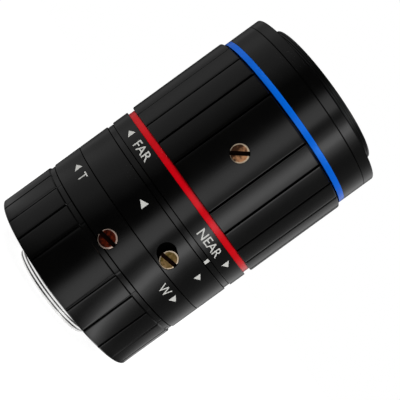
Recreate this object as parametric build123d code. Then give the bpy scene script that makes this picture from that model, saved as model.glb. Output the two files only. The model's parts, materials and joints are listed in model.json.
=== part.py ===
"""Manual varifocal lens with a C-mount: focus, iris and zoom rings, each with a brass lock screw.

Frame: the lens axis is Z, its front points up, and the origin is the centre of the flange plane,
where the lens seats on a camera. Millimetres. The marks on the rings face -Y.
"""

from build123d import *
from math import asin, degrees, sqrt
import os

# Fits
running_gap = 0.05  # radial gap of a fit that turns or slides
seat_gap = 0.02  # radial gap of a screwed, pressed or glued seat
face_gap = 0.05  # axial gap between faces that turn past each other
cement_gap = 0.02  # layer of cement between two lens elements
overcut = 1.0  # how far a cutting shape runs past what it cuts

# Camera thread and seat
thread_radius = 12.7
thread_length = 4.0
thread_chamfer = 0.5
throat_wall = 1.7
mount_disc_thickness = 2.75
mount_rim_width = 2.55  # the disc's rim, round the recess at its front

# Outside of the rings, along the axis
ring_start = 0.55  # the zoom ring stays this far in front of the flange plane
zoom_grip_length = 14.2
zoom_groove_width = 1.45
zoom_band_length = 7.5
iris_ring_length = 8.3
collar_width = 1.45
scale_band_length = 4.45
red_width = 1.75
blue_width = 1.5
focus_grip_length = 27.25
front_travel_gap = 0.5  # between the focus grip and the front barrel at the far stop
front_ring_length = 8.95
bezel_reach = 2.55
ring_gap = 0.15  # between two rings, where a dark line shows

# Outside of the rings: steps from the radius of the marked bands
grip_proud = 0.15
collar_inset = 0.3
stripe_inset = 0.6
front_inset = 0.65
bezel_step = 4.95  # from the front ring's radius to the bezel's
zoom_groove_depth = 0.4
zoom_groove_slope = 0.3
seam_line_width = 0.3  # narrow line at the foot of the marked band
seam_line_depth = 0.35

# Edges
corner_share = 0.3  # a rounded corner's middle lies this share of its radius inside the sharp corner
rear_chamfer = 0.3
band_chamfer = 0.15
grip_chamfer = 0.5
front_round = 0.25
front_line_depth = 0.25  # fine turned line round the front ring
front_line_back = 2.95  # from the front face

# Grip panels: one wide panel under the lock screw, narrow ones round the rest
narrow_panels = 22
wide_panel_angle = 32.0
panel_groove_width = 0.45
panel_groove_depth = 0.35

# Rear plate
plate_thickness = 1.6
plate_inset = 0.1  # from the zoom ring's rear face
plate_overlap = 2.1  # beyond the main barrel, over the zoom ring
plate_screw_count = 3
plate_screw_radius = 0.8
plate_screw_head = 1.4
plate_screw_length = 4.25
driver_slot_width = 0.35
driver_slot_depth = 0.3

# Main barrel
barrel_wall = 2.85
ring_wall = 4.65  # from the barrel to the marked bands
tube_step = 1.25  # from the rear chamber's bore to the front tube's
tube_wall = 1.2
web_thickness = 1.2
web_reach = 6.8  # inwards from the tube's bore
tube_clearance = 1.0  # axial room between the tube's end and the front cell's web
retainer_wall = 2.0
retainer_width = 2.0
focus_retainer_wall = 1.3
notch_width = 1.5  # spanner notches of the threaded rings
notch_depth = 0.6

# Rear lens group
rear_lens_radius = 14.0
cell_wall = 3.5
cell_length = 12.4
cell_rest = 3.3  # behind the cell at rest
cell_lip = 1.0
cell_lip_reach = 1.4  # how far the lip, the ring and the spacer reach in over the glass
cell_ring_reach = 1.6
cell_ring_length = 1.75
rear_spacer_reach = 1.2

# Cam drive of the rear group
pin_radius = 1.0
cam_pin_back = 3.2  # from the cell's rear face to the pins
cam_pin_floor = 1.0  # metal left between the pins and the glass
cam_groove_depth = 1.55
cam_tip_gap = 0.1
cam_count = 3
cam_first_angle = -30.0
zoom_turn = 35.0  # each way from rest
zoom_travel = 3.0  # each way from rest
turn_margin = 2.0  # spare angle at each end of a slot or a groove

# Front lens group and its guide
skirt_wall = 1.35
skirt_room = 3.9  # from the retaining ring of the focus sleeve to the skirt at rest
tube_short = 6.8  # the fixed tube ends this far behind the blue ring
blue_ring_wall = 1.95
front_travel = 3.0
guide_pin_back = 3.0  # from the skirt's end to the pins
guide_pin_reach = 0.1  # the pins stop short of the tube's bore by this much
front_web = 1.2
front_web_reach = 2.0
doublet_depth = 7.2  # from the pair's seat to the front element's seat
meniscus_rim = 3.6
meniscus_step = 2.5  # from the bezel's radius to the front element's
doublet_step = 0.8  # from the front element's radius to the pair's
front_spacer_reach = 1.6
bezel_wall = 1.0  # outside the filter thread
filter_depth = 3.9
bezel_lip_reach = 0.8
bezel_lip_flare = 1.0

# Lens faces: how far the edge lies in front of the vertex, and the glass between two vertices
lens_1_front_drop = -2.6
lens_1_back_drop = -4.2
lens_2_front_drop = 0.8
lens_2_thickness = 1.5
front_cement_drop = -1.6
lens_3_thickness = 3.2
lens_3_back_drop = -0.5
lens_4_front_drop = -1.4
lens_4_thickness = 3.8
lens_4_back_drop = 1.2
lens_4_air = 0.4
lens_5_front_drop = -1.6
lens_5_thickness = 4.3
rear_cement_drop = 1.9
lens_6_thickness = 1.2
lens_6_back_drop = -0.6

# Focus sleeve
sleeve_wall = 1.75
sleeve_short = 0.6  # the sleeve ends this far behind the grip's end

# Iris
blade_count = 6
blade_thickness = 0.14
blade_pitch = 0.22  # from one blade's layer to the next
blade_inner_inset = 9.0  # insets are measured inwards from the tube's bore
blade_outer_inset = 3.6
blade_lug_inset = 1.3
blade_span_angle = 112.0
blade_lug_start_angle = -4.0
blade_lug_end_angle = 17.0
pivot_inset = 2.4
pivot_radius = 0.5
drive_pin_angle = 12.0
slot_side_gap = 0.1
stop_reach = 9.3
iris_plate_thickness = 1.0
pivot_depth = 0.8
iris_gap = 0.1
drive_ring_reach = 6.3
drive_ring_thickness = 2.0
iris_lock_reach = 5.8
iris_lock_thickness = 1.6
drive_stud_radius = 0.7
drive_stud_depth = 1.5  # how deep the stud stands in the drive ring
drive_stud_seat = 2.0  # how deep the stud stands in the iris ring
iris_open_turn = 16.0  # from rest to wide open
iris_close_turn = 24.0  # from rest to the smallest stop
blade_rest_angle = 11.8
blade_ratio = blade_rest_angle / iris_open_turn

# Lock screws
lock_head_radius = 2.3
lock_head_gap = 0.1
lock_head_height = 1.95
lock_proud = 0.1
lock_head_chamfer = 0.25
lock_shank_radius = 1.5
lock_tip_gap = 0.3
lock_slot_width = 0.85
lock_slot_depth = 0.8
zoom_screw_inset = 1.85  # from the rear edge of the band to the screw
zoom_screw_angle = -4.0
zoom_ring_angle = -2.5
iris_screw_inset = 2.5
iris_screw_angle = 24.6
iris_recess_run = 2.1  # from the screw's centre to the far end of the oblong recess
iris_recess_slant = 20.0
focus_screw_angle = 0.4
zoom_slot_turn = -70.0
iris_slot_turn = -77.0
focus_slot_turn = -50.0

# Stations along the axis
plate_start = ring_start + plate_inset
barrel_start = plate_start + plate_thickness
chamber_start = barrel_start + mount_disc_thickness
zoom_grip_end = ring_start + zoom_grip_length
zoom_band_start = zoom_grip_end + zoom_groove_width
zoom_end = zoom_band_start + zoom_band_length
iris_start = zoom_end + ring_gap
iris_end = iris_start + iris_ring_length
collar_start = iris_end + ring_gap
collar_end = collar_start + collar_width
sleeve_start = collar_end + ring_gap
scale_end = sleeve_start + scale_band_length
grip_start = scale_end + red_width
grip_end = grip_start + focus_grip_length
blue_start = grip_end + front_travel_gap
front_ring_start = blue_start + blue_width
front_face = front_ring_start + front_ring_length
bezel_face = front_face + bezel_reach
zoom_screw_station = zoom_band_start + zoom_screw_inset
iris_screw_station = iris_start + iris_screw_inset
focus_screw_station = (grip_start + grip_end) / 2

# Radii of the nested tubes, from the optics out
cell_radius = rear_lens_radius + cell_wall
barrel_bore = cell_radius + running_gap
barrel_radius = barrel_bore + barrel_wall
ring_bore = barrel_radius + running_gap
tube_bore = barrel_bore + tube_step
tube_radius = tube_bore + tube_wall
skirt_bore = tube_radius + running_gap
skirt_radius = skirt_bore + skirt_wall
sleeve_bore = skirt_radius + running_gap
sleeve_radius = sleeve_bore + sleeve_wall
grip_bore = sleeve_radius + seat_gap
retainer_radius = barrel_radius + retainer_wall
plate_radius = barrel_radius + plate_overlap
cam_floor = ring_bore + cam_groove_depth
throat_radius = thread_radius - throat_wall
boss_radius = (thread_radius + barrel_bore) / 2  # the seat around the thread

# Radii of the outside
band_radius = ring_bore + ring_wall
grip_radius = band_radius + grip_proud
collar_radius = band_radius - collar_inset
stripe_radius = band_radius - stripe_inset
front_radius = band_radius - front_inset
blue_seat_radius = front_radius - blue_ring_wall
bezel_radius = front_radius - bezel_step
filter_bore = bezel_radius - bezel_wall

# Radii of the glass and of what holds it
meniscus_radius = bezel_radius - meniscus_step
doublet_radius = meniscus_radius - doublet_step
bezel_lip_bore = meniscus_radius - bezel_lip_reach
front_web_bore = doublet_radius - front_web_reach
front_spacer_bore = doublet_radius - front_spacer_reach
cell_lip_bore = rear_lens_radius - cell_lip_reach
cell_ring_bore = rear_lens_radius - cell_ring_reach
rear_spacer_bore = rear_lens_radius - rear_spacer_reach
cam_pin_root = rear_lens_radius + cam_pin_floor

# Radii of the iris
pivot_circle = tube_bore - pivot_inset
blade_inner = tube_bore - blade_inner_inset
blade_outer = tube_bore - blade_outer_inset
blade_lug_outer = tube_bore - blade_lug_inset
web_bore = tube_bore - web_reach
stop_bore = tube_bore - stop_reach
drive_ring_bore = tube_bore - drive_ring_reach
iris_lock_bore = tube_bore - iris_lock_reach
drive_stud_root = tube_bore - drive_stud_depth

# Iris layers
web_start = iris_start + face_gap
iris_floor = web_start + web_thickness
blades_start = iris_floor + iris_plate_thickness + face_gap
drive_ring_start = blades_start + (blade_count - 1) * blade_pitch + blade_thickness + iris_gap
drive_ring_end = drive_ring_start + drive_ring_thickness
stud_station = drive_ring_start + drive_ring_thickness / 2
iris_part_radius = tube_bore - running_gap

# Rear group
cell_start = chamber_start + cell_rest
cell_end = cell_start + cell_length
cam_pin_station = cell_start + cam_pin_back

# Front group
focus_retainer_start = scale_end + face_gap
focus_retainer_end = focus_retainer_start + retainer_width
skirt_start = focus_retainer_end + skirt_room
guide_pin_station = skirt_start + guide_pin_back
tube_end = blue_start - tube_short
front_web_start = tube_end + tube_clearance
doublet_seat = front_web_start + front_web
meniscus_seat = doublet_seat + doublet_depth
bezel_seat = meniscus_seat + meniscus_rim


def turned(*outline):
    """Revolve a closed outline of (radius, height) points about the lens axis."""
    corners = [Vector(radius, 0, height) for radius, height in outline]
    return revolve(make_face(Polyline(*corners, close=True)), Axis.Z)


def tube(inner, outer, start, end, chamfer=0.0):
    """A plain tube, with a chamfer on its two outer edges."""
    if chamfer == 0:
        return turned((inner, start), (outer, start), (outer, end), (inner, end))
    return turned(
        (inner, start),
        (outer - chamfer, start),
        (outer, start + chamfer),
        (outer, end - chamfer),
        (outer - chamfer, end),
        (inner, end),
    )


def around(shape, angle):
    """Turn a shape about the lens axis."""
    return Rot(0, 0, angle) * shape


def spanner_notches(outer, face):
    """Two notches across a threaded ring's end face, for the pins of a spanner."""
    return Pos(0, 0, face) * Box(2 * (outer + overcut), notch_width, 2 * notch_depth)


def facing(angle):
    """The angle about Z of a mark that stands this far to the right of the face at -Y."""
    return angle - 90


def radial_pin(radius, inner, outer, station, angle):
    """A pin whose axis crosses the lens axis at right angles."""
    pin = Cylinder(radius, outer - inner, align=(Align.CENTER, Align.CENTER, Align.MIN))
    return around(Pos(inner, 0, station) * Rot(0, 90, 0) * pin, angle)


def ring_sector(inner, outer, start, end):
    """A flat sector of a ring between two angles."""
    outer_arc = CenterArc((0, 0), outer, start, end - start)
    inner_arc = CenterArc((0, 0), inner, start, end - start)
    sides = Line(outer_arc @ 0, inner_arc @ 0) + Line(outer_arc @ 1, inner_arc @ 1)
    return make_face(outer_arc + inner_arc + sides)


def sector_block(inner, outer, start, end, bottom, top):
    """A sector of a tube, such as a slot that runs part of the way round."""
    return Pos(0, 0, bottom) * extrude(ring_sector(inner, outer, start, end), top - bottom)


def sagitta(radius, edge_drop, edge_radius):
    """Drop of a spherical face at a radius, from its drop at the edge."""
    sphere = (edge_radius**2 + edge_drop**2) / (2 * abs(edge_drop))
    drop = sphere - sqrt(sphere**2 - radius**2)
    return drop if edge_drop > 0 else -drop


def lens_element(edge_radius, back, front, back_drop, front_drop):
    """A lens element from its two vertices; a positive drop is an edge further forward."""

    def face_arc(vertex, drop):
        middle = edge_radius / 2
        return ThreePointArc(
            (0, 0, vertex),
            (middle, 0, vertex + sagitta(middle, drop, edge_radius)),
            (edge_radius, 0, vertex + drop),
        )

    back_arc = face_arc(back, back_drop)
    front_arc = face_arc(front, front_drop)
    outline = back_arc + front_arc + Line(back_arc @ 0, front_arc @ 0) + Line(back_arc @ 1, front_arc @ 1)
    return revolve(make_face(outline), Axis.Z)


def panel_grooves(radius, start, end, centre):
    """Grooves along the axis that part a grip into one wide panel and the narrow ones."""
    narrow_angle = (360 - wide_panel_angle) / narrow_panels
    first = centre + wide_panel_angle / 2
    cutter = Box(2 * panel_groove_depth, panel_groove_width, end - start + 2 * overcut)
    cutter = Pos(radius, 0, (start + end) / 2) * cutter
    return [around(cutter, first + step * narrow_angle) for step in range(narrow_panels + 1)]


# C-mount barrel: thread, seat and the disc that the rear plate holds in the main barrel
mount_disc_end = barrel_start + mount_disc_thickness
c_mount_barrel = turned(
    (throat_radius, -thread_length),
    (thread_radius - thread_chamfer, -thread_length),
    (thread_radius, -thread_length + thread_chamfer),
    (thread_radius, 0),
    (boss_radius, 0),
    (boss_radius, barrel_start),
    (barrel_bore - seat_gap, barrel_start),
    (barrel_bore - seat_gap, mount_disc_end),
    (barrel_bore - mount_rim_width, mount_disc_end),
    (barrel_bore - mount_rim_width, barrel_start + face_gap),
    (throat_radius, barrel_start + face_gap),
)

# Rear plate, with countersunk holes over the barrel's wall
plate_screw_circle = barrel_bore + barrel_wall / 2
plate_screw_angles = [360 * step / plate_screw_count for step in range(plate_screw_count)]
head_height = plate_screw_head - plate_screw_radius


def plate_screw_form(gap, start, end):
    """Countersunk screw along Z, head at the back; a gap turns it into its own hole."""
    shank = plate_screw_radius + gap
    head = plate_screw_head + gap
    return turned((0, start), (head, start), (shank, start + head_height), (shank, end), (0, end))


plate_screw_end = plate_start + plate_screw_length
screw_hole = plate_screw_form(seat_gap, plate_start, plate_screw_end + seat_gap)
driver_slot = Box(2 * (plate_screw_head + overcut), driver_slot_width, 2 * driver_slot_depth)
plate_screw = plate_screw_form(0, plate_start, plate_screw_end) - Pos(0, 0, plate_start) * driver_slot

rear_plate = tube(boss_radius + seat_gap, plate_radius, plate_start, barrel_start)
plate_screws = []
for angle in plate_screw_angles:
    rear_plate -= around(Pos(plate_screw_circle, 0, 0) * screw_hole, angle)
    plate_screws.append(around(Pos(plate_screw_circle, 0, 0) * plate_screw, angle))
rear_plate_screws = Compound(children=plate_screws)

# Main barrel: rear chamber, web that carries the iris, collar with the index, front tube
main_barrel = turned(
    (barrel_bore, barrel_start),
    (barrel_radius, barrel_start),
    (barrel_radius, collar_start),
    (collar_radius - band_chamfer, collar_start),
    (collar_radius, collar_start + band_chamfer),
    (collar_radius, collar_end - band_chamfer),
    (collar_radius - band_chamfer, collar_end),
    (tube_radius, collar_end),
    (tube_radius, tube_end),
    (tube_bore, tube_end),
    (tube_bore, iris_floor),
    (web_bore, iris_floor),
    (web_bore, web_start),
    (barrel_bore, web_start),
)
for angle in plate_screw_angles:
    main_barrel -= around(Pos(plate_screw_circle, 0, 0) * screw_hole, angle)

# Straight slots for the cam pins of the rear group
cam_angles = [cam_first_angle + 360 * step / cam_count for step in range(cam_count)]
slot_radius = pin_radius + running_gap
cam_slot = extrude(SlotCenterToCenter(2 * zoom_travel, 2 * slot_radius), 2 * barrel_radius)
cam_slot = Pos(0, 0, cam_pin_station) * Rot(0, 90, 0) * cam_slot
for angle in cam_angles:
    main_barrel -= around(cam_slot, angle)

# Straight slots for the guide pins of the front barrel
guide_angles = [0, 180]
guide_slot = extrude(SlotCenterToCenter(front_travel, 2 * slot_radius), 2 * tube_radius)
guide_slot = Pos(0, 0, guide_pin_station + front_travel / 2) * Rot(0, 90, 0) * guide_slot
for angle in guide_angles:
    main_barrel -= around(guide_slot, angle)

# Slot round the barrel for the stud that turns the iris
stud_angle = 90
stud_slot_half = drive_stud_radius + running_gap + slot_side_gap
stud_slot_spare = turn_margin + degrees(asin(stud_slot_half / tube_bore))
main_barrel -= sector_block(
    barrel_bore,
    barrel_radius + overcut,
    stud_angle - iris_open_turn - stud_slot_spare,
    stud_angle + iris_close_turn + stud_slot_spare,
    stud_station - stud_slot_half,
    stud_station + stud_slot_half,
)

# Threaded rings that keep the iris ring and the focus sleeve against the collar
iris_retainer_end = iris_start - face_gap / 2
iris_retainer_start = iris_retainer_end - retainer_width
iris_ring_retainer = tube(
    barrel_radius + seat_gap, retainer_radius, iris_retainer_start, iris_retainer_end
)
iris_ring_retainer -= spanner_notches(retainer_radius, iris_retainer_start)
focus_ring_retainer = tube(
    tube_radius + seat_gap, tube_radius + focus_retainer_wall, focus_retainer_start, focus_retainer_end
)
focus_ring_retainer -= spanner_notches(skirt_radius, focus_retainer_end)


def lock_screw(surface, tip, slot_turn):
    """Slotted lock screw along +X from its tip to just proud of the ring's surface."""
    top = surface + lock_proud
    seat = top - lock_head_height
    edge = lock_head_radius - lock_head_chamfer
    outline = turned(
        (0, tip),
        (lock_shank_radius, tip),
        (lock_shank_radius, seat),
        (lock_head_radius, seat),
        (lock_head_radius, top - lock_head_chamfer),
        (edge, top),
        (0, top),
    )
    slot = Box(2 * (lock_head_radius + overcut), lock_slot_width, 2 * lock_slot_depth)
    return Rot(0, 90, 0) * (outline - Pos(0, 0, top) * Rot(0, 0, slot_turn) * slot)


def lock_hole(surface, run=0.0, slant=0.0):
    """Hole for a lock screw along +X: a round or oblong recess for its head, then its thread."""
    recess_width = 2 * (lock_head_radius + lock_head_gap)
    floor = surface + lock_proud - lock_head_height - seat_gap
    recess = Circle(recess_width / 2)
    if run > 0:
        middle = Pos(run / 2, 0) * SlotCenterToCenter(run, recess_width)
        recess = Rot(0, 0, -90 - slant) * middle
    recess = Pos(floor, 0, 0) * Rot(0, 90, 0) * extrude(recess, surface)
    thread = radial_pin(lock_shank_radius + seat_gap, 0, surface, 0, 0)
    return recess + thread


def at_ring(shape, station, angle):
    """Place a lock screw or its hole at a station and at an angle from the face at -Y."""
    return around(Pos(0, 0, station) * shape, facing(angle))


# Zoom ring: grip band, seam groove and marked band, with the cam grooves in its bore
seam_floor = grip_radius - zoom_groove_depth
seam_line_floor = seam_floor - seam_line_depth
seam_line_start = zoom_band_start - seam_line_width
retainer_room = iris_retainer_start - face_gap
zoom_ring = turned(
    (plate_radius + running_gap, ring_start),
    (grip_radius - rear_chamfer, ring_start),
    (grip_radius, ring_start + rear_chamfer),
    (grip_radius, zoom_grip_end - zoom_groove_slope),
    (seam_floor, zoom_grip_end),
    (seam_floor, seam_line_start),
    (seam_line_floor, seam_line_start),
    (seam_line_floor, zoom_band_start),
    (band_radius - band_chamfer, zoom_band_start),
    (band_radius, zoom_band_start + band_chamfer),
    (band_radius, zoom_end - band_chamfer),
    (band_radius - band_chamfer, zoom_end),
    (retainer_radius + running_gap, zoom_end),
    (retainer_radius + running_gap, retainer_room),
    (ring_bore, retainer_room),
    (ring_bore, barrel_start + face_gap),
    (plate_radius + running_gap, barrel_start + face_gap),
)
zoom_ring -= panel_grooves(grip_radius, ring_start, zoom_grip_end, facing(zoom_ring_angle))
zoom_ring -= at_ring(lock_hole(band_radius), zoom_screw_station, zoom_screw_angle)

# The ring turns under the pins, so the groove is the pin's path seen from the ring
cam_spare = turn_margin + degrees(asin(slot_radius / ring_bore))
cam_half_turn = zoom_turn + cam_spare
cam_half_rise = zoom_travel * cam_half_turn / zoom_turn
cam_pitch = zoom_travel * 360 / zoom_turn
cam_path = Helix(cam_pitch, 2 * cam_half_rise, ring_bore)
cam_section = Plane(origin=cam_path @ 0, x_dir=(1, 0, 0), z_dir=cam_path % 0)
cam_section *= Rectangle(2 * cam_groove_depth, 2 * slot_radius)
cam_groove = Pos(0, 0, cam_pin_station - cam_half_rise) * sweep(cam_section, cam_path, is_frenet=True)
for angle in cam_angles:
    zoom_ring -= around(cam_groove, angle - cam_half_turn)

# Rear lens group: elements from the back to the front, then the parts that space and hold them
rear_seat = cell_start + cell_lip
lens_6_back = rear_seat - lens_6_back_drop
lens_6_front = lens_6_back + lens_6_thickness
lens_5_back = lens_6_front + cement_gap
lens_5_front = lens_5_back + lens_5_thickness
lens_4_back = lens_5_front + lens_4_air
lens_4_front = lens_4_back + lens_4_thickness
lens_6_biconcave = lens_element(
    rear_lens_radius, lens_6_back, lens_6_front, lens_6_back_drop, rear_cement_drop
)
lens_5_biconvex = lens_element(
    rear_lens_radius, lens_5_back, lens_5_front, rear_cement_drop, lens_5_front_drop
)
lens_4_biconvex = lens_element(
    rear_lens_radius, lens_4_back, lens_4_front, lens_4_back_drop, lens_4_front_drop
)
spacer_start = lens_5_front + sagitta(rear_spacer_bore, lens_5_front_drop, rear_lens_radius) + seat_gap
spacer_end = lens_4_back + sagitta(rear_spacer_bore, lens_4_back_drop, rear_lens_radius) - seat_gap
rear_spacer = tube(rear_spacer_bore, rear_lens_radius, spacer_start, spacer_end)
cell_ring_start = lens_4_front + sagitta(cell_ring_bore, lens_4_front_drop, rear_lens_radius) + seat_gap
cell_ring_end = cell_ring_start + cell_ring_length
rear_cell_ring = tube(cell_ring_bore, rear_lens_radius, cell_ring_start, cell_ring_end)
rear_cell_ring -= spanner_notches(rear_lens_radius, cell_ring_end)

rear_cell = turned(
    (cell_lip_bore, cell_start),
    (cell_radius - band_chamfer, cell_start),
    (cell_radius, cell_start + band_chamfer),
    (cell_radius, cell_end - band_chamfer),
    (cell_radius - band_chamfer, cell_end),
    (rear_lens_radius + seat_gap, cell_end),
    (rear_lens_radius + seat_gap, rear_seat),
    (cell_lip_bore, rear_seat),
)
cam_pins = []
for angle in cam_angles:
    rear_cell -= radial_pin(
        pin_radius + seat_gap, cam_pin_root - seat_gap, barrel_bore, cam_pin_station, angle
    )
    cam_pins.append(radial_pin(pin_radius, cam_pin_root, cam_floor - cam_tip_gap, cam_pin_station, angle))
rear_cam_pins = Compound(children=cam_pins)

# Iris ring, with the oblong recess at its lock screw, and the stud that turns the drive ring
iris_ring = tube(ring_bore, band_radius, iris_start, iris_end, band_chamfer)
iris_ring -= at_ring(
    lock_hole(band_radius, iris_recess_run, iris_recess_slant), iris_screw_station, iris_screw_angle
)
stud_end = ring_bore + drive_stud_seat
iris_ring -= radial_pin(
    drive_stud_radius + seat_gap, tube_bore, stud_end + seat_gap, stud_station, stud_angle
)
iris_drive_pin = radial_pin(drive_stud_radius, drive_stud_root, stud_end, stud_station, stud_angle)

# Iris: base plate with the pivots, blades in layers, drive ring with a cam slot for each blade
blade_angles = [360 * step / blade_count for step in range(blade_count)]
pivot_hole = Pos(pivot_circle, 0, iris_floor + iris_plate_thickness)
pivot_hole *= Cylinder(pivot_radius + running_gap, 2 * (pivot_depth + face_gap))
iris_base_plate = tube(stop_bore, tube_bore - seat_gap, iris_floor, iris_floor + iris_plate_thickness)
for angle in blade_angles:
    iris_base_plate -= around(pivot_hole, angle)

pivot_point = Vector(pivot_circle, 0)
drive_arm = Vector(pivot_circle, 0).rotate(Axis.Z, drive_pin_angle) - pivot_point


def drive_pin_from_ring(ring_turn):
    """Place of the blade's drive pin, as the drive ring sees it after a turn from rest."""
    blade_turn = blade_ratio * (ring_turn + iris_open_turn)
    return (pivot_point + drive_arm.rotate(Axis.Z, blade_turn)).rotate(Axis.Z, -ring_turn)


middle_turn = (iris_close_turn - iris_open_turn) / 2
cam_turns = (-iris_open_turn, middle_turn, iris_close_turn)
cam_arc = ThreePointArc(*[drive_pin_from_ring(turn) for turn in cam_turns])
blade_slot = extrude(SlotArc(cam_arc, 2 * (pivot_radius + slot_side_gap)), 2 * drive_ring_thickness)
blade_slot = Pos(0, 0, drive_ring_start - drive_ring_thickness / 2) * blade_slot
iris_drive_ring = tube(drive_ring_bore, iris_part_radius, drive_ring_start, drive_ring_end)
for angle in blade_angles:
    iris_drive_ring -= around(blade_slot, angle)
iris_drive_ring -= radial_pin(
    drive_stud_radius + seat_gap, drive_stud_root - seat_gap, barrel_radius, stud_station, stud_angle
)
iris_lock_start = drive_ring_end + face_gap
iris_retaining_ring = tube(
    iris_lock_bore, tube_bore - seat_gap, iris_lock_start, iris_lock_start + iris_lock_thickness
)
iris_retaining_ring -= spanner_notches(tube_bore, iris_lock_start + iris_lock_thickness)

blade_plate = ring_sector(blade_inner, blade_outer, blade_lug_start_angle, blade_span_angle)
blade_plate += ring_sector(blade_inner, blade_lug_outer, blade_lug_start_angle, blade_lug_end_angle)
blade_plate = extrude(blade_plate, blade_thickness)
blade_pin_bottom = iris_floor + iris_plate_thickness - pivot_depth
blade_pin_top = drive_ring_end - face_gap


def upright_pin(place, bottom, top):
    """A pin along Z between two heights."""
    pin = Cylinder(pivot_radius, top - bottom, align=(Align.CENTER, Align.CENTER, Align.MIN))
    return Pos(place.X, place.Y, bottom) * pin


def iris_blade(layer):
    """One blade at rest: its plate in its own layer, pivot pin behind, drive pin in front."""
    bottom = blades_start + layer * blade_pitch
    blade = Pos(0, 0, bottom) * blade_plate
    blade += upright_pin(pivot_point, blade_pin_bottom, bottom + blade_thickness)
    blade += upright_pin(pivot_point + drive_arm, bottom, blade_pin_top)
    blade = Pos(pivot_point) * Rot(0, 0, blade_rest_angle) * Pos(-pivot_point) * blade
    return around(blade, blade_angles[layer])


iris_blades = {f"iris_blade_{layer + 1}": iris_blade(layer) for layer in range(blade_count)}

# Focus sleeve with the marked band, red ring and grip
focus_sleeve = turned(
    (skirt_bore, sleeve_start),
    (band_radius - band_chamfer, sleeve_start),
    (band_radius, sleeve_start + band_chamfer),
    (band_radius, scale_end - band_chamfer),
    (band_radius - band_chamfer, scale_end),
    (sleeve_radius, scale_end),
    (sleeve_radius, grip_end - sleeve_short),
    (sleeve_bore, grip_end - sleeve_short),
    (sleeve_bore, scale_end),
    (skirt_bore, scale_end),
)
focus_hole = at_ring(lock_hole(grip_radius), focus_screw_station, focus_screw_angle)
focus_sleeve -= focus_hole
red_ring = tube(grip_bore, stripe_radius, scale_end, grip_start)
focus_grip = tube(grip_bore, grip_radius, grip_start, grip_end, grip_chamfer)
focus_grip -= panel_grooves(grip_radius, grip_start, grip_end, facing(focus_screw_angle))
focus_grip -= focus_hole

# Front barrel: skirt round the fixed tube, cell for the front elements, front ring
line_station = front_face - front_line_back
front_corner = corner_share * front_round
front_barrel = turned(
    (skirt_bore, skirt_start),
    (skirt_radius, skirt_start),
    (skirt_radius, blue_start),
    (blue_seat_radius, blue_start),
    (blue_seat_radius, front_ring_start),
    (front_radius - band_chamfer, front_ring_start),
    (front_radius, front_ring_start + band_chamfer),
    (front_radius, line_station - front_line_depth / 2),
    (front_radius - front_line_depth, line_station),
    (front_radius, line_station + front_line_depth / 2),
    (front_radius, front_face - front_round),
    (front_radius - front_corner, front_face - front_corner),
    (front_radius - front_round, front_face),
    (bezel_radius + seat_gap, front_face),
    (bezel_radius + seat_gap, bezel_seat),
    (meniscus_radius + seat_gap, bezel_seat),
    (meniscus_radius + seat_gap, meniscus_seat),
    (doublet_radius + seat_gap, meniscus_seat),
    (doublet_radius + seat_gap, doublet_seat),
    (front_web_bore, doublet_seat),
    (front_web_bore, front_web_start),
    (skirt_bore, front_web_start),
)
blue_ring = tube(blue_seat_radius + seat_gap, front_radius, blue_start, front_ring_start)
guide_pins = []
guide_pin_root = tube_bore + guide_pin_reach
for angle in guide_angles:
    front_barrel -= radial_pin(
        pin_radius + seat_gap, guide_pin_root, sleeve_bore, guide_pin_station, angle
    )
    guide_pins.append(radial_pin(pin_radius, guide_pin_root, skirt_radius, guide_pin_station, angle))
front_guide_pins = Compound(children=guide_pins)

# Front elements: a cemented pair behind a meniscus
lens_3_back = doublet_seat - lens_3_back_drop
lens_3_front = lens_3_back + lens_3_thickness
lens_2_back = lens_3_front + cement_gap
lens_2_front = lens_2_back + lens_2_thickness
lens_1_back = meniscus_seat - lens_1_back_drop
lens_1_front = bezel_seat - lens_1_front_drop
lens_3_meniscus = lens_element(
    doublet_radius, lens_3_back, lens_3_front, lens_3_back_drop, front_cement_drop
)
lens_2_biconcave = lens_element(
    doublet_radius, lens_2_back, lens_2_front, front_cement_drop, lens_2_front_drop
)
lens_1_meniscus = lens_element(
    meniscus_radius, lens_1_back, lens_1_front, lens_1_back_drop, lens_1_front_drop
)
front_spacer = tube(
    front_spacer_bore,
    doublet_radius,
    lens_2_front + lens_2_front_drop + seat_gap,
    lens_1_back + sagitta(doublet_radius, lens_1_back_drop, meniscus_radius) - seat_gap,
)

# Bezel: holds the front element and carries the filter thread
bezel_lip_start = lens_1_front + sagitta(bezel_lip_bore, lens_1_front_drop, meniscus_radius) + seat_gap
filter_floor = bezel_face - filter_depth
front_bezel = turned(
    (bezel_lip_bore, bezel_lip_start),
    (bezel_radius, bezel_lip_start),
    (bezel_radius, bezel_face - band_chamfer),
    (bezel_radius - band_chamfer, bezel_face),
    (filter_bore, bezel_face),
    (filter_bore, filter_floor),
    (bezel_lip_bore + bezel_lip_flare, filter_floor),
)

# Lock screws, loosened by a hair so that the rings turn
barrel_tip = barrel_radius + lock_tip_gap
skirt_tip = skirt_radius + lock_tip_gap
zoom_lock_screw = at_ring(
    lock_screw(band_radius, barrel_tip, zoom_slot_turn), zoom_screw_station, zoom_screw_angle
)
iris_lock_screw = at_ring(
    lock_screw(band_radius, barrel_tip, iris_slot_turn), iris_screw_station, iris_screw_angle
)
focus_lock_screw = at_ring(
    lock_screw(grip_radius, skirt_tip, focus_slot_turn), focus_screw_station, focus_screw_angle
)

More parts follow.
